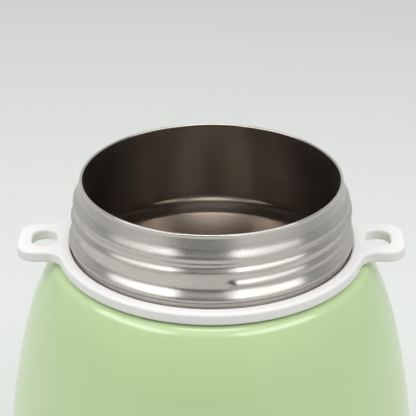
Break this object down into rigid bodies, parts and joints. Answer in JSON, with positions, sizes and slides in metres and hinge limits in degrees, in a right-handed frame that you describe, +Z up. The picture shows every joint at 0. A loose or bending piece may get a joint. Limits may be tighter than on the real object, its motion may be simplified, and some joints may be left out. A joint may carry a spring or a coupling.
{
  "type": "vacuum food jar",
  "caption": "Wide-mouth double-wall vacuum food jar, shown open, with a bare steel threaded neck and a free-turning collar with two strap eyelets.",
  "frame": {"origin": "centre of the circle that the jar stands on", "axes": "+Z up along the jar's axis, +X towards one eyelet of the collar"},
  "size_m": [0.1258, 0.1258, 0.146],
  "materials": {
    "satin_steel": "satin, turned on the inside",
    "brushed_steel": "brushed round the neck",
    "plain_steel": "plain rolled",
    "base_steel": "spun",
    "copper": "bright foil",
    "green_paint": "gloss baked paint",
    "getter_alloy": "pressed powder",
    "solder_glass": "melted bead",
    "silicone": "matt moulded",
    "white_plastic": "satin moulded"
  },
  "bodies": {
    "jar": {"liner_body": "satin_steel", "liner_bottom": "satin_steel", "copper_foil": "copper", "threaded_neck": "brushed_steel", "outer_shell": "green_paint", "closing_plate": "plain_steel", "getter": "getter_alloy", "getter_clip": "plain_steel", "seal_bead": "solder_glass", "base_cover": "base_steel", "base_pad": "silicone"},
    "collar": {"strap_collar": "white_plastic"}
  },
  "joints": [
    {"name": "collar_swivel", "type": "hinge", "parent": "jar", "child": "collar", "pos_m": [0, 0, 0.12415], "axis": [0, 0, 1], "continuous": true}
  ]
}
